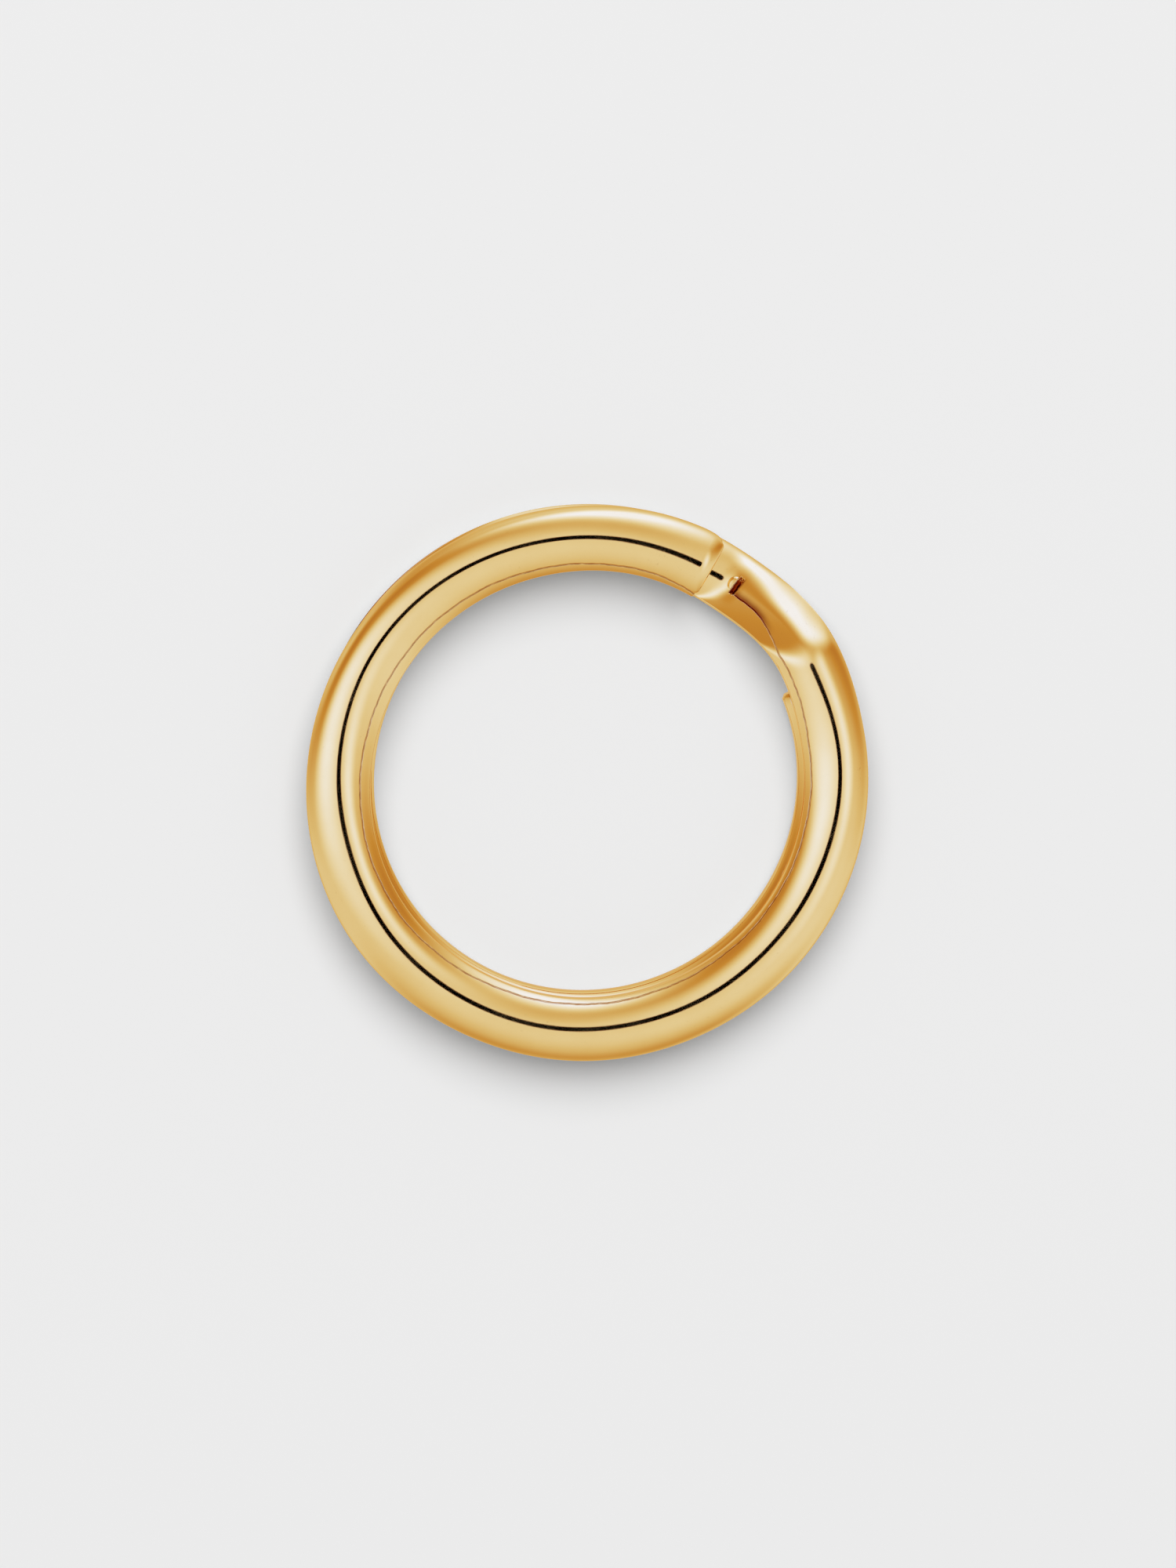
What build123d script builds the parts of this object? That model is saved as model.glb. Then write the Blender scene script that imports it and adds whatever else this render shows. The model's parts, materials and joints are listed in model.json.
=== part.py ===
"""Split key ring: one domed spring wire, wound into two flat coils that a crossover bend joins.

The origin is the centre of the ring, in the plane where the two coils lie on each other. +Z is the
ring's axis. Angles are measured anticlockwise from +X, seen from +Z. The wire is divided along its
length into stretches, because each coil opens by bending: a root that stays still, and for each coil
a chain of flexing stretches that ends in the coil's free end.
"""

import os
from math import cos, pi, radians, sin

from build123d import *

os.makedirs("parts", exist_ok=True)

# Driving dimensions, in millimetres
outer_diameter = 30.0
wire_width = 3.42
wire_height = 1.6
coil_gap = 0.05  # play between the coils, which touch at their crowns when the ring is sprung shut
dome_half_width = 1.76  # half width of the oval before its inner side is flattened
lower_coil_inset = 0.2  # how much smaller in radius the lower coil has sprung
crossover_bulge = 0.2  # how far the crossover bend swells out past the upper coil
tip_round = 0.25  # rounding of the two cut ends

# Driving angles, in degrees
upper_tip_angle = 60.8
lower_tip_angle = 24.4
bend_from_angle = 10.0  # the crossover bend's own stretch of wire runs from here to the upper free end
descent_from_angle = 27.0  # the wire leaves the upper coil
descent_to_angle = 58.2  # the wire has reached the lower coil
stretch_angle = 30.0  # length of one flexing stretch
flexing_stretches = 5  # on each coil, the free end included
crossover_sections = 21

# Worked out from them
upper_crown_radius = outer_diameter / 2 - dome_half_width
lower_crown_radius = upper_crown_radius - lower_coil_inset
coil_level = (wire_height + coil_gap) / 2  # height of each coil's middle above or below the origin
land_offset = wire_width - dome_half_width  # from the crown inwards to the flattened inner side
flexing_angle = stretch_angle * flexing_stretches


def section_plane(angle, crown_radius, level, climb=0.0):
    """The plane across the wire at an angle: X points outwards, and climb is the wire's rise per mm."""
    outwards = Vector(cos(radians(angle)), sin(radians(angle)), 0)
    along = Vector(-outwards.Y, outwards.X, climb).normalized()
    return Plane(origin=outwards * crown_radius + Vector(0, 0, level), x_dir=outwards, z_dir=along)


def coil_stretch(label, crown_radius, level, from_angle, to_angle, tip_angle=None):
    """One stretch of a flat coil. A stretch that ends in a cut end has that end's edges rounded."""
    with BuildPart() as stretch:
        with BuildSketch(section_plane(from_angle, crown_radius, level)):
            Ellipse(dome_half_width, wire_height / 2)
            with Locations((-land_offset, 0)):
                Rectangle(wire_width, wire_height, align=(Align.MAX, Align.CENTER), mode=Mode.SUBTRACT)
        revolve(axis=Axis.Z, revolution_arc=to_angle - from_angle)
        if tip_angle is not None:
            tip = section_plane(tip_angle, crown_radius, level).origin
            tip_face = faces().filter_by(GeomType.PLANE).sort_by_distance(tip)[0]
            fillet(tip_face.edges(), tip_round)
    stretch.part.label = label
    export_step(stretch.part, f"parts/{label}.step")


def crossover_place(angle):
    """The crossover's crown radius, level and climb at an angle. It is level where it meets the coils."""
    span = descent_to_angle - descent_from_angle
    share = min(max((angle - descent_from_angle) / span, 0.0), 1.0)
    descent = share**3 * (10 - 15 * share + 6 * share**2)
    steepness = 30 * share**2 * (1 - share) ** 2
    level = coil_level * (1 - 2 * descent)
    bulge_share = min((angle - bend_from_angle) / (descent_to_angle - bend_from_angle), 1.0)
    crown_radius = upper_crown_radius - lower_coil_inset * descent
    crown_radius += crossover_bulge * sin(pi * bulge_share) ** 2
    climb = -2 * coil_level * steepness / (radians(span) * crown_radius)
    return crown_radius, level, climb


def crossover_bend(label):
    """The bend that carries the wire down from the upper coil to the lower one."""
    step = (upper_tip_angle - bend_from_angle) / (crossover_sections - 1)
    with BuildPart() as bend:
        for index in range(crossover_sections):
            angle = bend_from_angle + step * index
            with BuildSketch(section_plane(angle, *crossover_place(angle))):
                Ellipse(dome_half_width, wire_height / 2)
                with Locations((-land_offset, 0)):
                    Rectangle(wire_width, wire_height, align=(Align.MAX, Align.CENTER), mode=Mode.SUBTRACT)
        loft()
    bend.part.label = label
    export_step(bend.part, f"parts/{label}.step")


crossover_bend("crossover_bend")

# The upper coil runs anticlockwise from its free end, over the lower coil, to the crossover.
for index in range(flexing_stretches):
    start = upper_tip_angle + stretch_angle * index
    name = "upper_free_end" if index == 0 else f"upper_flexing_stretch_{index}"
    tip_angle = start if index == 0 else None
    coil_stretch(name, upper_crown_radius, coil_level, start, start + stretch_angle, tip_angle)
root_from_angle = upper_tip_angle + flexing_angle
coil_stretch("upper_coil_root", upper_crown_radius, coil_level, root_from_angle, bend_from_angle + 360)

# The lower coil runs clockwise from its free end, under the upper coil, to the crossover.
for index in range(flexing_stretches):
    start = lower_tip_angle - stretch_angle * index
    name = "lower_free_end" if index == 0 else f"lower_flexing_stretch_{index}"
    tip_angle = start if index == 0 else None
    coil_stretch(name, lower_crown_radius, -coil_level, start - stretch_angle, start, tip_angle)
root_to_angle = lower_tip_angle - flexing_angle
coil_stretch("lower_coil_root", lower_crown_radius, -coil_level, upper_tip_angle - 360, root_to_angle)
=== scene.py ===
"""Looks of the split key ring: polished gold-plated wire, a pale floor, soft studio light and the camera.

The wire is modelled as one surface that follows its whole length, from the upper coil's free end to the
lower coil's. A place along it is a winding angle in degrees, which starts at the upper free end, passes
the crossover after almost a full turn and ends at the lower free end after almost two. The surface is then
cut into pieces: some ride on a body, and each of the others spans a hinge that joins two bodies.
Lengths are in millimetres until a mesh is made.
"""

import json
import math

import bpy
import numpy as np
from mathutils import Matrix, Vector


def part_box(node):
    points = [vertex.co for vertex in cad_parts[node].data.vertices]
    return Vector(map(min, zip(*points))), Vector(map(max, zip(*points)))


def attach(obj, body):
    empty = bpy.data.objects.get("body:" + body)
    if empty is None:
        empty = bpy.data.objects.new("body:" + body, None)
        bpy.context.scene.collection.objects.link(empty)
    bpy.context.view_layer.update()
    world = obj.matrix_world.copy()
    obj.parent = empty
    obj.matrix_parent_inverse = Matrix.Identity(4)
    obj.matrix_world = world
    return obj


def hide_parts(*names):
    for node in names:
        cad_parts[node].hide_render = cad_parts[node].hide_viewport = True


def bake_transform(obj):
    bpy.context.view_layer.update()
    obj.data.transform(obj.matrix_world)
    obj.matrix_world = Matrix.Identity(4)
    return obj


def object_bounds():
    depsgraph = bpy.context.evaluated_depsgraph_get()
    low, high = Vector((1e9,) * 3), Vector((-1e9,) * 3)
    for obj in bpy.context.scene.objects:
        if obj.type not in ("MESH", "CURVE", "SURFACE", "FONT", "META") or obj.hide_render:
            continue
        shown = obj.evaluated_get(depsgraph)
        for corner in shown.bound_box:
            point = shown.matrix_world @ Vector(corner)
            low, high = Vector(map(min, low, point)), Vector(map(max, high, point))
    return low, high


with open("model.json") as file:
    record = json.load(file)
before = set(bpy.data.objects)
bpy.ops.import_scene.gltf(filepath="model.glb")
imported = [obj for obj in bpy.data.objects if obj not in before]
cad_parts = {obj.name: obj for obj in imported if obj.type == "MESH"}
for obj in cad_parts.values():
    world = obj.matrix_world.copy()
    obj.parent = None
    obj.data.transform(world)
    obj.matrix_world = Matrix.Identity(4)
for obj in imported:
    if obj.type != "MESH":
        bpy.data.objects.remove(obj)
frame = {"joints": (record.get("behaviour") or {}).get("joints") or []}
cad_low, cad_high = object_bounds()

MM = 0.001

# ---------------------------------------------------------------- the wire's measures

# Read from the frame
upper_low, upper_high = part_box("upper_coil_root")
outer_radius = (cad_high.x - cad_low.x) / 2 / MM
lower_outer_radius = -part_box("lower_coil_root")[0].x / MM
half_height = (upper_high.z - upper_low.z) / 2 / MM
coil_level = (upper_high.z + upper_low.z) / 2 / MM

# The section
half_width = 1.76  # of the oval section, before its inner side is flattened
land = 1.66  # from the crown inwards to the flattened inner side
land_corner = 0.09  # how far the inner corners are rounded
wall_share = 0.5  # share of the inner side's height that is a straight wall
corner_reach, corner_pull = 0.62, 0.55  # how full the rounded corner is, at its two ends
lean_growth = 0.3  # how strongly a lean grows towards the outer rim
crown_radius = outer_radius - half_width
lower_inset = outer_radius - lower_outer_radius

# The forming seam
seam_place = 1.25  # inwards from the crown
seam_width = 0.12
seam_depth = 0.04
seam_ridge, seam_ridge_width = 0.45, 0.14  # a low ridge along the groove's middle, as shares of its size
plain_seam = 0.5  # the seam's strength on the sides that don't show
seam_sway, sway_rate, sway_at = 0.19, 1.25, 165.0  # it sways slowly, nearest the crown at sway_at
seam_turn, seam_turn_length = 0.12, 6.0  # how far it turns inwards at the upper cut end, fading in degrees

# The crossover's shape
crossover_bulge = 0.22  # how far its crown swings outwards
pressed_in = 0.13  # how much further it falls than to the lower coil's top, as a share of the drop
inner_lag = 13.4  # degrees later that its inner side falls, for each millimetre below the crown
outer_lead = 14.0  # degrees sooner that its outer side falls, at most, in the same way
crease_swing = 0.83  # how far its crease swings out from the seam's place
crease_sharpness = 1.4  # above 1, the crease stays near the seam's place for longer
crease_depth = 0.06
crease_foot, crease_wall = 0.07, 0.05  # widths of the crease's outer slope and of its steep inner wall
press_floor = 0.57  # share of the section's height that the pressing leaves as it is
press_fade = (0.35, 1.25)  # inwards from the crown, the pressing fades out

# The burr and the slot before it: half lengths in degrees, half widths in millimetres, and the middles as
# degrees past burr_at and millimetres out from the crown
burr_height, burr_length, burr_width = 0.05, 1.5, 0.44
burr_middle, burr_across = 0.1, 0.08
burr_front = (-0.1, 0.25)  # degrees past burr_at over which it rises from the slot
burr_steepness = 1.4  # above 1, the burr has a flatter top and steeper sides
slot_depth, slot_length, slot_width = 0.34, 0.64, 0.53
slot_middle, slot_across = -0.72, 0.05
slot_end_slope, slot_side_slope = 0.3, 0.12  # the lengths over which its ends and sides go down
slot_ragged = 0.16  # how uneven its ends are

# The cut ends
tip_length, tip_drop = 0.7, 0.26  # how far back the top and bottom edges round over, and by how much
side_length, side_draw = 0.2, 0.1  # the same for the edges at the sides
taper_length, taper_draw = 1.2, 0.3  # the upper cut end also narrows on its outer side
tip_corner = 0.16  # radius of a cut end's corners, seen from above
corner_fade = 0.3  # how far back from the end the rounding of the corners fades
corner_fill = 0.98  # just under 1, so that a corner's arc never runs straight back along the wire
inner_flare, flare_fade = 0.11, 20.0  # the inner side widens near the upper cut end, fading in degrees

# Winding angles, in degrees
hinge_gap = 30  # from one hinge to the next
half_bend = hinge_gap // 2
root_hinge = 150  # the hinge nearest the root, by its nominal distance from the free end
joint_at = {joint["name"]: joint["pos_m"] for joint in frame["joints"]}


def winding_angle(joint_name, turns):
    """The winding angle of a hinge, from its place in the frame."""
    x, y, _ = joint_at[joint_name]
    return math.degrees(math.atan2(y, x)) % 360 + 360 * turns


upper_first_hinge = winding_angle("upper_wire_flex_30", 0)
lower_first_hinge = winding_angle("lower_wire_flex_30", 1)
upper_end_length, lower_end_length = 30.6, 28.5  # from a coil's first hinge to its cut end
upper_tip = round(upper_first_hinge - upper_end_length, 1)
lower_tip = round(lower_first_hinge + lower_end_length, 1)
crossover_from, crossover_to = 370.0, round(upper_first_hinge + 330, 1)
descent_from, steady_from, steady_to, descent_to = 387.0, 395.5, 411.0, 417.8
burr_at = 413.1

# Stretches of the wire over which something happens
inset_stretch = (387.0, 418.0)  # the wire moves in to the lower coil's smaller radius
bulge_stretch = (crossover_from, 418.2)  # the crown swings outwards and back
swell_stretch = (421.0, 436.0)  # the top comes back up to the lower coil's level
lead_stretch = (385.0, 398.0)  # the outer side begins to fall before the crown
lead_end = (399.0, 413.0)
press_stretch = (410.2, 419.0)  # the crown is pressed flat
crease_stretch = (394.0, 409.5)  # the crease swings out from the seam's place
crease_start, crease_end = (394.5, 408.5), (411.0, 412.6)  # it deepens, and it runs out before the burr
sway_end = (400.0, 410.0)  # the seam stops swaying
seam_end = (410.5, 412.5)  # the seam runs out before the burr
seam_back = (412.5, 420.5)  # its line goes back to its usual place
seam_again, seam_again_strength = (430.0, 450.0), 0.4  # it shows again along the lower coil
burr_zone = (burr_at - 2.6, burr_at + 1.6)  # sampled three times as closely as the rest

# ---------------------------------------------------------------- the wire's surface


def ease(t):
    """0 to 1 as t goes from 0 to 1, with no slope or curvature at either end."""
    t = np.clip(t, 0.0, 1.0)
    return t**3 * (10 - 15 * t + 6 * t * t)


def share(place, stretch):
    """How far along a stretch a place is: 0 before it and 1 past it."""
    start, end = stretch
    return np.clip((place - start) / (end - start), 0, 1)


def rise(place, stretch):
    """0 to 1 along a stretch, eased at both ends."""
    return ease(share(place, stretch))


def ripple(place, *waves):
    """A sum of sine waves, each (size, radians per unit of place, phase)."""
    return sum(size * np.sin(place * rate + phase) for size, rate, phase in waves)


def smooth_curve(*points):
    """A natural cubic spline through (place, value) points, level beyond its ends."""
    place, value = np.array(points, float).T
    gap = np.diff(place)
    slope = np.diff(value) / gap
    matrix = np.eye(len(place))
    right_side = np.zeros(len(place))
    for i in range(1, len(place) - 1):
        matrix[i, i - 1 : i + 2] = gap[i - 1], 2 * (gap[i - 1] + gap[i]), gap[i]
        right_side[i] = 6 * (slope[i] - slope[i - 1])
    bend = np.linalg.solve(matrix, right_side)

    def curve(at):
        at = np.clip(at, place[0], place[-1])
        i = np.clip(np.searchsorted(place, at, side="right") - 1, 0, len(gap) - 1)
        before, after, h = at - place[i], place[i + 1] - at, gap[i]
        cubic = (bend[i] * after**3 + bend[i + 1] * before**3) / (6 * h)
        from_first = (value[i] / h - bend[i] * h / 6) * after
        from_second = (value[i + 1] / h - bend[i + 1] * h / 6) * before
        return cubic + from_first + from_second

    return curve


def ramp_area(wind, stretch):
    """The area under a slope that eases from 0 to 1 along a stretch and stays at 1."""
    start, end = stretch
    t = share(wind, stretch)
    return (end - start) * (t**3 - t**4 / 2) + np.maximum(wind - end, 0)


descent_span = (steady_to + descent_to) / 2 - (descent_from + steady_from) / 2
crossover_middle = (descent_from + steady_from) / 2 + descent_span / 2


def descent(wind):
    """How far down the top side has come, from 0 to 1: it starts, falls steadily and eases out."""
    begun = ramp_area(wind, (descent_from, steady_from))
    ended = ramp_area(wind, (steady_to, descent_to))
    return (begun - ended) / descent_span


# The wire isn't a perfect circle: how far its crown lies outside one, in millimetres, and how many degrees
# its top leans, outer side up. Both are given at winding angles.
out_of_round = smooth_curve(
    (60, 0.03), (75, -0.02), (100, -0.13), (125, -0.12), (150, -0.07), (180, 0.03), (214, 0.13),
    (243, -0.02), (268, -0.04), (290, -0.08), (315, -0.03), (340, 0.0), (360, 0.02), (395, 0.05),
    (420, 0.03), (470, 0.0), (530, -0.04), (600, 0.03), (670, -0.03), (744, 0.0),
)
lean = smooth_curve(
    (60, 0.0), (72, 0.8), (85, 2.6), (100, 4.4), (115, 6.2), (130, 7.9), (148, 8.2), (165, 4.8),
    (180, 1.6), (196, -1.5), (212, -1.4), (228, -0.4), (245, 0.1), (260, 0.1), (277, -0.8),
    (300, -1.0), (315, -1.6), (328, -0.9), (345, 1.1), (362, 3.8), (374, 3.5), (386, 0.8),
    (396, 2.0), (410, 2.0), (418, 0.0), (744, 0.0),
)


def crown_place(wind):
    """The crown line's radius."""
    inset = lower_inset * rise(wind, inset_stretch)
    bulge = crossover_bulge * np.sin(np.pi * share(wind, bulge_stretch)) ** 2
    return crown_radius - inset + bulge + out_of_round(wind)


def fallen(wind):
    """How far down the top side is, as a share: it passes the lower coil's top and swells back to it."""
    return descent(wind) * (1 + pressed_in * (1 - rise(wind, swell_stretch)))


def side_level(wind, side):
    """The level that a side of the wire is drawn from: side is 1 for the upper one and -1 for the lower.

    The lower side falls as the upper one does, turned over, but it isn't pressed in.
    """
    if side > 0:
        return coil_level * (1 - 2 * fallen(wind))
    return -coil_level * (1 - 2 * descent(2 * crossover_middle - wind))


def crease_line(wind):
    """The crossover's crease, as a distance inwards from the crown: it swings out from the seam's place."""
    swing = np.sin(np.pi / 2 * share(wind, crease_stretch)) ** crease_sharpness
    return seam_place - crease_swing * swing


def seam_line(wind):
    """The seam's distance inwards from the crown. In the crossover it follows the crease."""
    back = rise(wind, seam_back)
    wander = ripple(wind, (0.012, 0.31, 0.4), (0.009, 0.83, 2.1), (0.006, 2.3, 1.0))
    swaying = 1 - share(wind, sway_end)
    wander = wander - seam_sway * np.cos(np.radians(sway_rate * (wind - sway_at))) * swaying
    wander = wander + seam_turn * np.exp(-(wind - upper_tip) / seam_turn_length)
    return crease_line(wind) * (1 - back) + seam_place * back + wander


def seam_strength(wind):
    """How deep the seam is pressed: it comes and goes along the coils and runs out before the burr."""
    come_and_go = 0.8 + ripple(wind, (0.2, 0.11, 0.9), (0.15, 0.37, 2.6), (0.12, 1.7, 0.3))
    return come_and_go * (1 - rise(wind, seam_end)) + seam_again_strength * rise(wind, seam_again)


def valley(wind, x):
    """The dip in the crown side along the crease, deepest at its steep inner wall."""
    depth = crease_depth * rise(wind, crease_start) * (1 - rise(wind, crease_end))
    past_crease = -x - seam_line(wind)
    slope = share(past_crease, (-crease_foot, 0)) ** 2
    return depth * slope * (1 - share(past_crease, (0, crease_wall)))


def flange(wind, x):
    """How far the crossover's sides stand above the level that its crown has fallen to.

    Each side follows the crown's own fall, the inner side later and the outer side sooner, and the further
    below the crown a place lies, the more. The outer side's share fades to nothing at the rim.
    """
    height = np.sqrt(np.clip(1 - (x / half_width) ** 2, 0, 1))
    below_crown = half_height * (1 - height)
    lead = outer_lead * rise(wind, lead_stretch) * (1 - rise(wind, lead_end))
    later = below_crown * np.where(x < 0, inner_lag, -lead)
    return 2 * coil_level * (fallen(wind) - fallen(wind - later)) * np.where(x < 0, 1, height)


def burr_and_slot(wind, x):
    """How far the crown is cut down by the ragged slot, less the low burr that stands beside it."""
    along = wind - burr_at
    from_middle = ((along - burr_middle) / burr_length) ** 2 + ((x - burr_across) / burr_width) ** 2
    outline = np.clip(1 - from_middle, 0, 1)
    nub = burr_height * rise(along, burr_front) * ease(burr_steepness * outline)
    ragged_end = ripple(x, (0.35, 9.0, 0.3), (0.25, 23.0, 1.2), (0.18, 41.0, 2.0))
    ragged_end = slot_ragged * ragged_end * np.sign(along - slot_middle)
    ragged_side = ripple(wind, (0.05, 5.3, 0.0), (0.035, 13.1, 1.0), (0.02, 29.0, 2.0))
    within_ends = slot_length + ragged_end - np.abs(along - slot_middle)
    within_sides = slot_width + ragged_side - np.abs(x - slot_across)
    slot = slot_depth * ease(within_ends / slot_end_slope) * ease(within_sides / slot_side_slope)
    return slot - nub


def pressed(wind, x, z):
    """How far the crown is pressed below the slope that its shoulders follow."""
    still_to_fall = 2 * coil_level * (1 + pressed_in) * (1 - descent(wind))
    flat = share(z / half_height, (press_floor, 1)) * (1 - rise(-x, press_fade))
    return still_to_fall * rise(wind, press_stretch) * flat


# The section is drawn from its outer side over the crown to the middle of its inner side, in five spans.
DOME, SEAM, STRIP, CORNER, WALL = range(5)
SPAN_STEPS = (44, 10, 10, 7, 2)


def cubic_curve(f, start, first_pull, second_pull, end):
    """A Bezier curve between two numbers, with f from 0 to 1."""
    pulled = 3 * f * (1 - f) ** 2 * first_pull + 3 * f * f * (1 - f) * second_pull
    return (1 - f) ** 3 * start + pulled + f**3 * end


def half_section(wind, u, detail):
    """The upper half of the section: x outwards from the crown, z up from the wire's middle.

    wind has shape (n, 1) and u shape (1, m). u counts spans, so 0 to 1 is the dome, 1 to 2 the seam, and
    so on. detail is true on the side that carries the crossover's crease and burr.
    """
    wind = wind + 0 * u
    u = u + 0 * wind
    seam = seam_line(wind) if detail else seam_place + 0 * wind
    depth = seam_depth * (seam_strength(wind) if detail else plain_seam)
    edge_x = land - land_corner
    before = seam - seam_width / 2
    after = seam + seam_width / 2
    turn_before = np.arccos(-before / half_width)
    turn_after = np.arccos(-after / half_width)
    turn_edge = math.acos(-edge_x / half_width)

    span = np.minimum(np.floor(u), WALL)
    f = u - span
    turn = np.where(span == DOME, turn_before * f, turn_after + (turn_edge - turn_after) * f)
    x = half_width * np.cos(turn)
    z = half_height * np.sin(turn)

    across = -(before + seam_width * f)
    ridge = seam_ridge * np.exp(-(((f - 0.5) / seam_ridge_width) ** 2))
    groove = depth * np.sin(np.pi * f) ** 2 * (1 - ridge)
    oval = half_height * np.sqrt(np.clip(1 - (across / half_width) ** 2, 0, 1))
    x = np.where(span == SEAM, across, x)
    z = np.where(span == SEAM, oval - groove, z)

    # the rounded inner corner, a curve that leaves the oval and arrives straight down the inner wall
    edge_z = half_height * math.sin(turn_edge)
    low_z = wall_share * edge_z
    slope = half_height * math.cos(turn_edge) / (half_width * math.sin(turn_edge))
    reach = corner_reach * land_corner
    pull_z = low_z + corner_pull * (edge_z - low_z)
    x = np.where(span == CORNER, cubic_curve(f, -edge_x, -edge_x - reach, -land, -land), x)
    z = np.where(span == CORNER, cubic_curve(f, edge_z, edge_z + slope * reach, pull_z, low_z), z)
    x = np.where(span == WALL, -land, x)
    z = np.where(span == WALL, low_z * (1 - f), z)

    if detail:
        raised = flange(wind, -edge_x + 0 * x)
        shaped = z + flange(wind, x) - pressed(wind, x, z) - burr_and_slot(wind, x) - valley(wind, x)
        z = np.where(span <= STRIP, shaped, z * (1 + raised / edge_z))
        leaning = np.where(x > 0, x - x**2 / (2 * half_width) + lean_growth * x**4, x)
        z = z * (1 + leaning * np.tan(np.radians(lean(wind))) / half_height)
    return x, z


def tip_round(gap, length, most):
    """How much an edge is drawn in at a distance from the cut end."""
    return most * (1 - np.sqrt(1 - (1 - share(gap, (0, length))) ** 2))


def surface(wind, u, side):
    """Points of the wire's surface. side is 1 for the half that faces up and -1 for the half below."""
    x, z = half_section(wind, u, detail=side > 0)
    wind = wind + 0 * u
    radius = crown_place(wind)
    flare = inner_flare * np.exp(-(wind - upper_tip) / flare_fade)
    x = np.where(x < 0, x * (1 + flare), x)

    # both cut ends are rounded, more at the corners than at the crown
    gap_upper = np.radians(wind - upper_tip) * crown_radius
    gap_lower = np.radians(lower_tip - wind) * (crown_radius - lower_inset)
    by_upper = gap_upper < gap_lower
    gap = np.clip(np.minimum(gap_upper, gap_lower), 0, None)
    middle = (half_width - land) / 2
    half_across = (half_width + land) / 2
    taper = np.where(by_upper, tip_round(gap, taper_length, taper_draw), 0)
    taper = taper * np.clip(x / half_width, 0, 1) ** 2
    x = middle + (x - middle) * (1 - tip_round(gap, side_length, side_draw) / half_across) - taper
    z = z * (1 - tip_round(gap, tip_length, tip_drop) / half_height)

    # the two halves meet halfway between their levels
    own, other = side_level(wind, side), side_level(wind, -side)
    z = side * z * (1 + side * (own - other) / 2 / half_height)

    # the corners of the cut ends, seen from above
    outwards = np.clip((x + taper - (half_width - side_draw - tip_corner)) / tip_corner, 0, 1)
    inwards = np.clip((-x - (land - side_draw - tip_corner)) / tip_corner, 0, 1)
    outer_arc = np.sqrt(1 - corner_fill * outwards**2)
    inner_arc = np.sqrt(1 - corner_fill * inwards**2)
    cut_back = tip_corner * (2 - outer_arc - inner_arc) * np.exp(-gap / corner_fade)
    wind = wind + np.degrees(cut_back / crown_radius) * np.where(by_upper, 1, -1)
    angle = np.radians(wind)
    r = radius + x
    return np.stack([r * np.cos(angle), r * np.sin(angle), (own + other) / 2 + z], axis=-1)


def normals(wind, u, side):
    """The surface's own normals, so that pieces which meet shade as one wire."""
    small_angle, small_step, margin = 2e-3, 4e-3, 1e-5
    ahead = surface(np.minimum(wind + small_angle, lower_tip - margin), u, side)
    behind = surface(np.maximum(wind - small_angle, upper_tip + margin), u, side)
    inner = surface(wind, np.clip(u + small_step, 0, len(SPAN_STEPS)), side)
    outer = surface(wind, np.clip(u - small_step, 0, len(SPAN_STEPS)), side)
    n = np.cross(ahead - behind, inner - outer) * side
    length = np.linalg.norm(n, axis=-1, keepdims=True)
    return n / np.maximum(length, 1e-15)


def section_steps(fineness):
    """Values of u that sample the half section."""
    steps = []
    for span, count in enumerate(SPAN_STEPS):
        steps.extend(span + np.arange(count * fineness) / (count * fineness))
    steps.append(float(len(SPAN_STEPS)))
    return np.array(steps)[None, :]


def wind_steps(wind_from, wind_to, step):
    """Winding angles that sample a stretch, closer together at the burr and where a cut end rounds over."""
    values = np.linspace(wind_from, wind_to, int(round((wind_to - wind_from) / step)) + 1)
    if wind_from < burr_at < wind_to:
        close = step / 3
        fine = np.arange(*burr_zone, close)
        before, after = values[values < fine[0] - close], values[values > fine[-1] + close]
        values = np.concatenate([before, fine, after])
    back = np.degrees(tip_length / crown_radius)
    clear = back * 1.2  # the even steps start again just past the rounding
    bend = np.radians(np.linspace(0, 90, 25))
    if wind_from == upper_tip:
        rounding = upper_tip + back * (1 - np.sin(bend[::-1]))
        values = np.concatenate([rounding, values[values > upper_tip + clear]])
    if wind_to == lower_tip:
        rounding = lower_tip - back * (1 - np.sin(bend))
        values = np.concatenate([values[values < lower_tip - clear], rounding])
    return values[:, None]


map_unit = 100  # millimetres to one unit of the wire's map


def wire_points(wind, u):
    """Rows of points and normals round the section: over the top from the outer side, then back below."""
    rows = [surface(wind, u, 1), surface(wind, u, -1), normals(wind, u, 1), normals(wind, u, -1)]
    top, bottom, top_normals, bottom_normals = rows
    points = np.concatenate([top, bottom[:, -2:0:-1]], axis=1)
    point_normals = np.concatenate([top_normals, bottom_normals[:, -2:0:-1]], axis=1)
    # where the two halves meet, the normals lie level
    angle = np.radians(wind[:, 0])
    inner_column = u.shape[1] - 1
    point_normals[:, 0] = np.stack([np.cos(angle), np.sin(angle), 0 * angle], -1)
    point_normals[:, inner_column] = -point_normals[:, 0]
    return points, point_normals


def end_faces(ring, facing):
    """Faces that close a cut end: strips between the top and the bottom of its ring of points."""
    around = len(ring)
    faces = []
    for k in range(around // 2):
        loop = [ring[k], ring[k + 1], ring[(around - k - 1) % around], ring[(around - k) % around]]
        if facing > 0:
            loop = loop[::-1]
        corners = [int(v) for i, v in enumerate(loop) if v != loop[i - 1]]
        faces.append(tuple(corners))
    return faces


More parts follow.
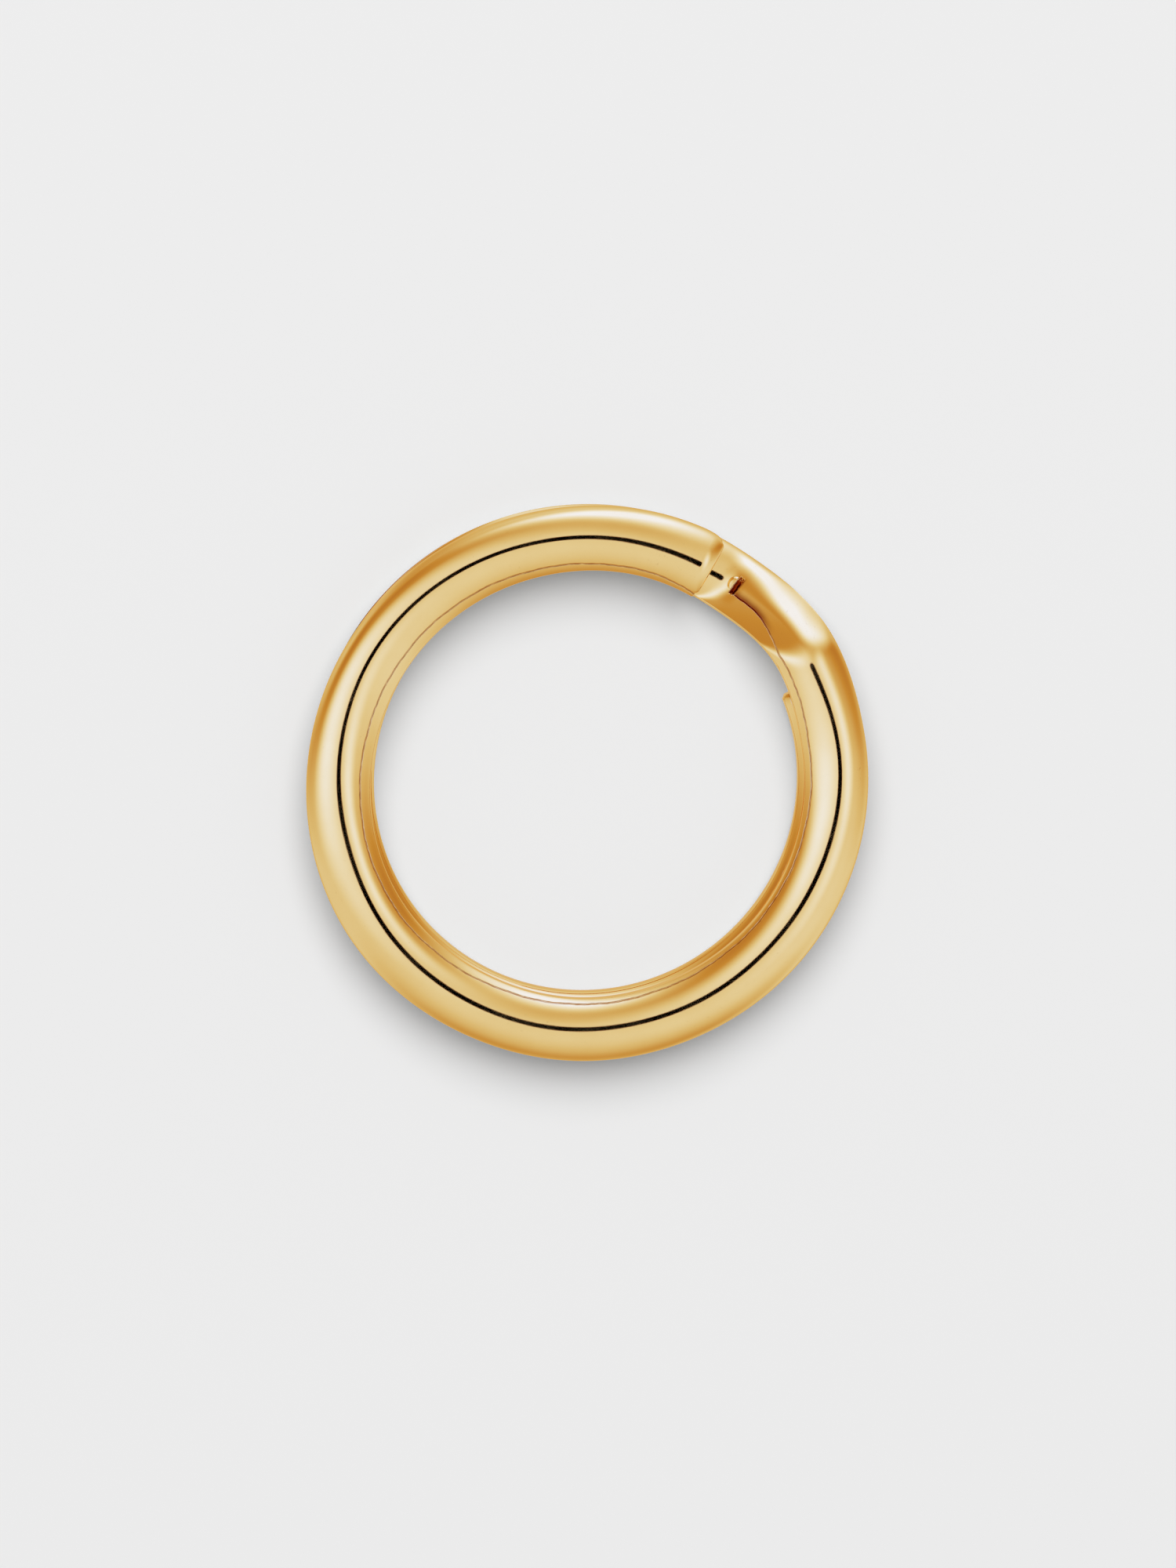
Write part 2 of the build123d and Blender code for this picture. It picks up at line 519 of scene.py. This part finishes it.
def wire_piece(name, wind_from, wind_to, step=1.0, fineness=1):
    """A mesh of one stretch of the wire, open where it meets its neighbours and closed at a cut end."""
    wind = wind_steps(wind_from, wind_to, step)
    points, point_normals = wire_points(wind, section_steps(fineness))
    count, around = points.shape[:2]
    index = np.arange(count * around).reshape(count, around)
    beside = np.roll(index, -1, axis=1)
    quads = np.stack([index[1:], beside[1:], beside[:-1], index[:-1]], axis=-1).reshape(-1, 4)
    faces = [tuple(quad) for quad in quads.tolist()]

    cut_rows = []
    if wind_from == upper_tip:
        cut_rows.append((0, -1))
    if wind_to == lower_tip:
        cut_rows.append((count - 1, 1))
    for row, facing in cut_rows:
        angle = np.radians(wind[row, 0])
        point_normals[row] = facing * np.array([-np.sin(angle), np.cos(angle), 0.0])
        faces.extend(end_faces(index[row], facing))

    mesh = bpy.data.meshes.new(name)
    mesh.from_pydata((points.reshape(-1, 3) * MM).tolist(), [], faces)
    mesh.validate()
    mesh.polygons.foreach_set("use_smooth", [True] * len(mesh.polygons))

    # the map: distances along the wire and round its section from the seam, for the material
    along = np.radians(wind) * crown_radius + np.zeros((1, around))
    gaps = np.linalg.norm(np.diff(points, axis=1), axis=-1)
    about = np.concatenate([np.zeros((count, 1)), np.cumsum(gaps, axis=1)], axis=1)
    seam_column = int((SPAN_STEPS[DOME] + SPAN_STEPS[SEAM] / 2) * fineness)
    about = about - about[:, seam_column : seam_column + 1]
    uv = mesh.uv_layers.new(name="wire")
    loops = np.zeros(len(mesh.loops), np.int64)
    mesh.loops.foreach_get("vertex_index", loops)
    flat_uv = np.stack([along.ravel()[loops], about.ravel()[loops]], axis=-1)
    uv.data.foreach_set("uv", (flat_uv / map_unit).astype(np.float32).ravel())
    mesh.normals_split_custom_set_from_vertices(point_normals.reshape(-1, 3).tolist())

    piece = bpy.data.objects.new(name, mesh)
    bpy.context.scene.collection.objects.link(piece)
    mesh.materials.append(gold)
    return piece


# ---------------------------------------------------------------- material


class Nodes:
    """A small helper that adds nodes to a tree and joins them."""

    def __init__(self, tree):
        self.tree = tree
        tree.nodes.clear()

    def add(self, kind, settings=None, **inputs):
        """A new node. An input is named, or i and its number."""
        node = self.tree.nodes.new(kind)
        for key, value in (settings or {}).items():
            setattr(node, key, value)
        for key, value in inputs.items():
            self.put(node, key, value)
        return node

    def put(self, node, key, value):
        numbered = key[0] == "i" and key[1:].isdigit()
        socket = node.inputs[int(key[1:])] if numbered else node.inputs[key]
        if isinstance(value, bpy.types.NodeSocket):
            self.tree.links.new(value, socket)
        else:
            socket.default_value = value

    def maths(self, operation, a, b=0.0):
        return self.add("ShaderNodeMath", {"operation": operation}, i0=a, i1=b).outputs[0]

    def vector(self, operation, a, b=None):
        node = self.add("ShaderNodeVectorMath", {"operation": operation}, i0=a)
        if b is not None:
            self.put(node, "i1", b)
        return node.outputs["Value" if operation == "LENGTH" else "Vector"]

    def turned(self, vector, angle):
        rotation = {"rotation_type": "Z_AXIS"}
        return self.add("ShaderNodeVectorRotate", rotation, Vector=vector, Angle=angle).outputs[0]

    def ranged(self, value, low, high, to_low=0.0, to_high=1.0):
        """The value, eased from one range to another and held at the ends."""
        node = self.add("ShaderNodeMapRange", {"interpolation_type": "SMOOTHSTEP", "clamp": True})
        for key, number in zip(("i0", "i1", "i2", "i3", "i4"), (value, low, high, to_low, to_high)):
            self.put(node, key, number)
        return node.outputs[0]

    def mixed(self, factor, first, second):
        """A blend of two colours: the first where the factor is 0."""
        node = self.add("ShaderNodeMix", {"data_type": "RGBA"}, Factor=factor, i6=first, i7=second)
        return node.outputs[2]

    def noise(self, place, **settings):
        return self.add("ShaderNodeTexNoise", Vector=place, **settings).outputs[0]


clean_gold = (1.0, 0.715, 0.295, 1)
hazy_gold = (0.985, 0.69, 0.27, 1)
# painted shade for the seam groove
painted_seam_shade = (0.50, 0.20, 0.06, 1)
# painted dark red shade for the crossover's crease and the burr's slot
painted_crease_shade = (0.33, 0.045, 0.008, 1)
tarnish = (0.62, 0.33, 0.09, 1)
gold_rim_tint = (1.0, 0.8, 0.5, 1)

# Where the painted seam shade is lost in the crossover: a middle, and how far the loss reaches on both
# sides
seam_shade_lost_at, seam_shade_lost_to, seam_shade_back_from = 418, 6, 7.5
# Where painted shade darkens the crease and the slot
crease_shade_from, crease_shade_to = (398, 405), (411.2, 412.2)
slot_shade_at = burr_at - 0.75


def along_wire(wind):
    """Distance along the wire, in the material's millimetres, of a winding angle."""
    return math.radians(wind) * crown_radius


def make_gold():
    """Polished gold plating: fine drawn lines along the wire, faint haze, scratches and tarnish, with
    painted shade in the seam groove, the crease and the slot.
    """
    material = bpy.data.materials.new("gold_plated_wire")
    material.use_nodes = True
    t = Nodes(material.node_tree)
    coords = t.add("ShaderNodeUVMap", {"uv_map": "wire"}).outputs[0]
    place = t.vector("MULTIPLY", coords, (map_unit, map_unit, map_unit))
    parts = t.add("ShaderNodeSeparateXYZ", Vector=place)
    along, across = parts.outputs[0], parts.outputs[1]

    drawn = t.noise(t.vector("MULTIPLY", place, (0.7, 14.0, 1.0)), Scale=1.0, Detail=4.0)
    haze = t.noise(place, Scale=0.35, Detail=5.0, Roughness=0.6)
    grain = t.noise(place, Scale=9.0, Detail=3.0, Roughness=0.6)
    stretched = t.vector("MULTIPLY", t.turned(place, 0.6), (0.5, 22.0, 1.0))
    scratches = t.ranged(t.noise(stretched, Scale=1.0, Detail=2.0), 0.66, 0.72)

    roughness = t.ranged(haze, 0.3, 0.7, 0.035, 0.06)
    roughness = t.maths("ADD", roughness, t.maths("MULTIPLY", scratches, 0.04))
    roughness = t.maths("ADD", roughness, t.maths("MULTIPLY", t.ranged(grain, 0.35, 0.75), 0.02))
    colour = t.mixed(t.ranged(haze, 0.3, 0.75), clean_gold, hazy_gold)

    # painted shade darkens the seam groove in short dashes, which are also scuffed rougher, but not where
    # it is lost in the crossover
    dashes = t.noise(t.vector("MULTIPLY", place, (2.2, 30.0, 1.0)), Scale=1.0, Detail=3.0)
    near_seam = t.ranged(t.maths("ABSOLUTE", across), 0.025, 0.075, 1.0, 0.0)
    from_lost = t.maths("ABSOLUTE", t.maths("SUBTRACT", along, along_wire(seam_shade_lost_at)))
    kept = t.ranged(from_lost, along_wire(seam_shade_lost_to), along_wire(seam_shade_back_from))
    near_seam = t.maths("MULTIPLY", near_seam, kept)
    seam_shade_and_scuff = t.maths("MULTIPLY", near_seam, t.ranged(dashes, 0.3, 0.55, 0.35, 1.0))
    colour = t.mixed(t.maths("MULTIPLY", seam_shade_and_scuff, 0.85), colour, painted_seam_shade)
    roughness = t.maths("ADD", roughness, t.maths("MULTIPLY", seam_shade_and_scuff, 0.06))

    # painted dark red shade in the crossover's crease, on its outer side, and in the burr's slot
    crease_shade_mask = t.maths("MULTIPLY", t.ranged(across, -0.46, 0.02), t.ranged(across, 0.01, 0.05, 1.0, 0.0))
    begun = t.ranged(along, *map(along_wire, crease_shade_from))
    ended = t.ranged(along, *map(along_wire, crease_shade_to), 1.0, 0.0)
    crease_shade_mask = t.maths("MULTIPLY", t.maths("MULTIPLY", crease_shade_mask, begun), ended)
    from_slot = t.maths("ABSOLUTE", t.maths("SUBTRACT", along, along_wire(slot_shade_at)))
    slot_shade_mask = t.maths("MULTIPLY", t.ranged(from_slot, 0.1, 0.24, 1.0, 0.0), t.ranged(across, -1.15, -0.9))
    slot_shade_mask = t.maths("MULTIPLY", slot_shade_mask, t.ranged(across, 0.02, 0.1, 1.0, 0.0))
    colour = t.mixed(t.maths("MAXIMUM", crease_shade_mask, slot_shade_mask), colour, painted_crease_shade)

    # sparse small specks of tarnish
    speck = t.noise(place, Scale=4.0, Detail=4.0, Roughness=0.65)
    patchy = t.noise(place, Scale=0.22, Detail=2.0)
    specks = t.maths("MULTIPLY", t.ranged(speck, 0.62, 0.72), t.ranged(patchy, 0.45, 0.65))
    colour = t.mixed(t.maths("MULTIPLY", specks, 0.3), colour, tarnish)
    roughness = t.maths("ADD", roughness, t.maths("MULTIPLY", specks, 0.05))

    height = t.maths("ADD", t.maths("MULTIPLY", drawn, 0.35), t.maths("MULTIPLY", grain, 0.4))
    height = t.maths("SUBTRACT", height, t.maths("MULTIPLY", scratches, 0.25))
    bump = t.add("ShaderNodeBump", Height=height, Strength=0.009, Distance=0.05 * MM)

    shader = t.add("ShaderNodeBsdfPrincipled", Metallic=1.0, Roughness=roughness, Normal=bump.outputs[0])
    t.put(shader, "Base Color", colour)
    t.put(shader, "Specular Tint", gold_rim_tint)
    t.add("ShaderNodeOutputMaterial", Surface=shader.outputs[0])
    return material


gold = make_gold()

# ---------------------------------------------------------------- pieces

section_pull = 0.48  # how far the crown-line points at a hinged piece's two ends are moved outwards along the wire


def chord_point(wind, pull):
    """A point on the crown line, moved along the wire by pull."""
    radius = float(crown_place(np.array(wind)))
    level = float(side_level(np.array(wind), 1))
    angle = math.radians(wind)
    tangent = Vector((-math.sin(angle), math.cos(angle), 0.0))
    return (Vector((radius * math.cos(angle), radius * math.sin(angle), level)) + tangent * pull) * MM


def hinged_piece(name, middle, towards_root, nodes):
    """The stretch that spans one hinge, half of it on each side of the hinge."""
    piece = wire_piece(name, middle - half_bend, middle + half_bend)
    start, end = middle + half_bend * towards_root, middle - half_bend * towards_root
    pull = section_pull * towards_root
    chord_point(start, -pull)
    chord_point(end, pull)
    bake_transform(piece)
    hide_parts(*nodes)


for coil, tip, first_hinge, towards_root in (
    ("upper", upper_tip, upper_first_hinge, 1),
    ("lower", lower_tip, lower_first_hinge, -1),
):
    stretches = (4, 3, 2, 1)
    nodes = [f"{coil}_coil_root", *(f"{coil}_flexing_stretch_{k}" for k in stretches), f"{coil}_free_end"]
    for step in range(5):
        from_tip = root_hinge - hinge_gap * step
        middle = first_hinge + towards_root * (from_tip - hinge_gap)
        name = f"{coil}_wire_bend_{from_tip}"
        hinged_piece(name, middle, towards_root, nodes[step : step + 2])
    near, far = sorted((tip, first_hinge - half_bend * towards_root))
    cut_end = wire_piece(f"{coil}_cut_end", near, far, step=0.5, fineness=2)
    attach(cut_end, f"{coil}_end_body")
    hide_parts(f"{coil}_free_end")

arc_reach = root_hinge - hinge_gap + half_bend  # from a coil's first hinge to the last bend's root side
upper_arc = wire_piece("upper_coil_arc", upper_first_hinge + arc_reach, crossover_from)
lower_arc = wire_piece("lower_coil_arc", crossover_to, lower_first_hinge - arc_reach)
crossing = wire_piece("crossover", crossover_from, crossover_to, step=0.18, fineness=2)
for piece, node in (
    (upper_arc, "upper_coil_root"),
    (lower_arc, "lower_coil_root"),
    (crossing, "crossover_bend"),
):
    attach(piece, "wire_root")
    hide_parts(node)

# ---------------------------------------------------------------- floor

floor_reach = 3.0  # metres
floor_z = cad_low.z - 0.02 * MM
floor_mesh = bpy.data.meshes.new("floor")
corners = [(x * floor_reach, y * floor_reach, floor_z) for x, y in ((-1, -1), (1, -1), (1, 1), (-1, 1))]
floor_mesh.from_pydata(corners, [], [(0, 1, 2, 3)])
floor = bpy.data.objects.new("floor", floor_mesh)
bpy.context.scene.collection.objects.link(floor)
paper = bpy.data.materials.new("pale_paper")
paper.use_nodes = True
paper_nodes = Nodes(paper.node_tree)
paper_shader = paper_nodes.add("ShaderNodeBsdfPrincipled", Roughness=1.0)
paper_nodes.put(paper_shader, "Base Color", (0.85, 0.85, 0.85, 1))
paper_nodes.put(paper_shader, "Specular IOR Level", 0.0)
paper_nodes.add("ShaderNodeOutputMaterial", Surface=paper_shader.outputs[0])
floor_mesh.materials.append(paper)
floor.visible_glossy = False

# ---------------------------------------------------------------- light

camera_lean_x, camera_lean_y = -4.2, 7.4  # how far the camera stands off straight above, in degrees

# The studio round the ring, as soft patches of more or less light: compass direction and angle from
# straight up, length and width, turn, and how much lighter or darker the patch is. All are in degrees
# but the last.
base_light = 0.57
patches = (
    ("soft box behind the ring", 73, 51, 61, 44, 31, 0.43),
    ("dark wall, back left", 131, 84, 50, 99, 22, -0.24),
    ("dark wall, right", 19, 65, 100, 59, -1, -0.33),
    ("card, left of the camera", 185, 20, 42, 24, 17, 0.32),
    ("card, right of the camera", 358, 19, 14, 25, 3, 0.27),
    ("gap beside the soft box", 113, 31, 46, 25, -46, -0.23),
    ("dark wall, front", 272, 79, 90, 65, 32, -0.42),
    ("dark wall, left", 171, 74, 49, 100, 104, -0.25),
    ("fill, front right", 320, 66, 72, 32, -59, 0.11),
    ("fill, front", 275, 65, 82, 45, 71, 0.21),
)
below_from, below_to, below_loss = 95.0, 130.0, 0.07  # it gets a little darker below the horizon

# The studio's colour at each level of light: warm in its dark corners, cool in the soft box
studio_colours = (
    (0.11, (0.30, 0.086, 0.03)),
    (0.19, (0.44, 0.19, 0.05)),
    (0.30, (0.57, 0.35, 0.11)),
    (0.43, (0.665, 0.56, 0.37)),
    (0.52, (0.72, 0.69, 0.59)),
    (0.60, (0.77, 0.82, 0.92)),
    (0.70, (0.83, 0.97, 1.46)),
    (0.80, (0.87, 1.11, 2.18)),
    (0.88, (0.91, 1.23, 2.89)),
)
studio_strength = 3.0

# The dark opening round the lens, where a level crown mirrors the camera: radii in degrees
opening_from, opening_to = 2.9, 3.7
opening_rim_from, opening_rim_to = 3.1, 4.4
opening_rim_colour = (0.12, 0.04, 0.012, 1)

thrown_colour = (0.175, 0.25, 0.62, 1)  # bluish, so that what the gold throws on the floor is neutral
backdrop_colour = (0.84, 0.84, 0.84, 1)
ambient_colour, ambient_strength = (1, 1, 1, 1), 0.35


def studio_light(t, plan, from_up):
    """How light the studio is in a direction."""
    light = base_light
    for _, azimuth, zenith, length, width, turn, amount in patches:
        a = math.radians(azimuth)
        offset = t.vector("SUBTRACT", plan, (zenith * math.cos(a), zenith * math.sin(a), 0.0))
        turned = t.turned(offset, -math.radians(turn))
        scaled = t.vector("MULTIPLY", turned, (1 / length, 1 / width, 0.0))
        patch = t.ranged(t.vector("LENGTH", scaled), 0.0, 1.0, amount, 0.0)
        light = t.maths("ADD", patch, light)
    return t.maths("SUBTRACT", light, t.ranged(from_up, below_from, below_to, 0.0, below_loss))


def studio_colour(t, light):
    """The studio's colour at a level of light."""
    ramp = t.add("ShaderNodeValToRGB", Fac=light)
    elements = ramp.color_ramp.elements
    while len(elements) < len(studio_colours):
        elements.new(0.5)
    for element, (position, colour) in zip(elements, studio_colours):
        element.position = position
        element.color = (*(part / studio_strength for part in colour), 1)
    return ramp.outputs[0]


def make_world():
    """A plain pale backdrop, and the studio's patches of light where the ring mirrors them."""
    world = bpy.data.worlds.new("studio")
    bpy.context.scene.world = world
    world.use_nodes = True
    t = Nodes(world.node_tree)
    direction = t.add("ShaderNodeTexCoord").outputs["Generated"]
    height = t.add("ShaderNodeSeparateXYZ", Vector=direction).outputs[2]
    from_up = t.maths("MULTIPLY", t.maths("ARCCOSINE", height), 180 / math.pi)
    compass = t.vector("NORMALIZE", t.vector("MULTIPLY", direction, (1.0, 1.0, 0.0)))
    plan = t.add("ShaderNodeVectorMath", {"operation": "SCALE"}, i0=compass, Scale=from_up).outputs[0]
    colour = studio_colour(t, studio_light(t, plan, from_up))

    opening = t.vector("LENGTH", t.vector("SUBTRACT", plan, (-camera_lean_x, -camera_lean_y, 0.0)))
    rim = t.ranged(opening, opening_rim_from, opening_rim_to)
    strength = t.maths("MULTIPLY", t.ranged(opening, opening_from, opening_to), studio_strength)
    rimmed = t.mixed(rim, opening_rim_colour, colour)
    mirrored = t.add("ShaderNodeBackground", Color=rimmed, Strength=strength).outputs[0]
    thrown = t.add("ShaderNodeBackground", Color=thrown_colour, Strength=studio_strength).outputs[0]
    backdrop = t.add("ShaderNodeBackground", Color=backdrop_colour).outputs[0]
    ambient = t.add("ShaderNodeBackground", Color=ambient_colour, Strength=ambient_strength).outputs[0]

    path = t.add("ShaderNodeLightPath").outputs
    on_floor = t.maths("GREATER_THAN", path["Diffuse Depth"], 0.5)
    plain = t.add("ShaderNodeMixShader", i0=path["Is Camera Ray"], i1=ambient, i2=backdrop)
    mirror = t.add("ShaderNodeMixShader", i0=on_floor, i1=mirrored, i2=thrown)
    both = t.add("ShaderNodeMixShader", i0=path["Is Glossy Ray"], i1=plain.outputs[0], i2=mirror.outputs[0])
    t.add("ShaderNodeOutputWorld", Surface=both.outputs[0])


make_world()


def soft_lamp(name, azimuth, elevation, size, strength):
    """A broad lamp three metres away that lights the floor and is not mirrored in the ring."""
    away = 3.0
    a, e = math.radians(azimuth), math.radians(elevation)
    towards = Vector((math.cos(a) * math.cos(e), math.sin(a) * math.cos(e), math.sin(e)))
    light = bpy.data.lights.new(name, "AREA")
    light.shape = "DISK"
    light.size = size
    light.energy = strength
    lamp = bpy.data.objects.new(name, light)
    lamp.location = towards * away
    lamp.rotation_mode = "QUATERNION"
    lamp.rotation_quaternion = towards.to_track_quat("Z", "Y")
    lamp.visible_glossy = False
    lamp.visible_camera = False
    bpy.context.scene.collection.objects.link(lamp)


soft_lamp("key lamp", azimuth=95, elevation=60, size=3.0, strength=82)

# ---------------------------------------------------------------- camera

camera_distance = 0.6
frame_height = 83.7 * MM  # what the picture shows from top to bottom
aim_right, aim_up = 0.071 * MM, -0.125 * MM
sensor = 36.0

back = Vector((math.sin(math.radians(camera_lean_x)), math.sin(math.radians(camera_lean_y)), 0.0))
back.z = math.sqrt(1 - back.length_squared)
right = Vector((0, 1, 0)).cross(back).normalized()
up = back.cross(right)
camera_data = bpy.data.cameras.new("camera")
camera_data.sensor_width = sensor
camera_data.lens = sensor * camera_distance / frame_height
camera_data.clip_start = 0.01
camera_data.clip_end = 10.0
camera = bpy.data.objects.new("camera", camera_data)
bpy.context.scene.collection.objects.link(camera)
camera.matrix_world = Matrix((right, up, back)).transposed().to_4x4()
camera.location = right * aim_right + up * aim_up + back * camera_distance
bpy.context.scene.camera = camera

bpy.context.scene.view_settings.view_transform = "Standard"
bpy.context.scene.view_settings.look = "None"
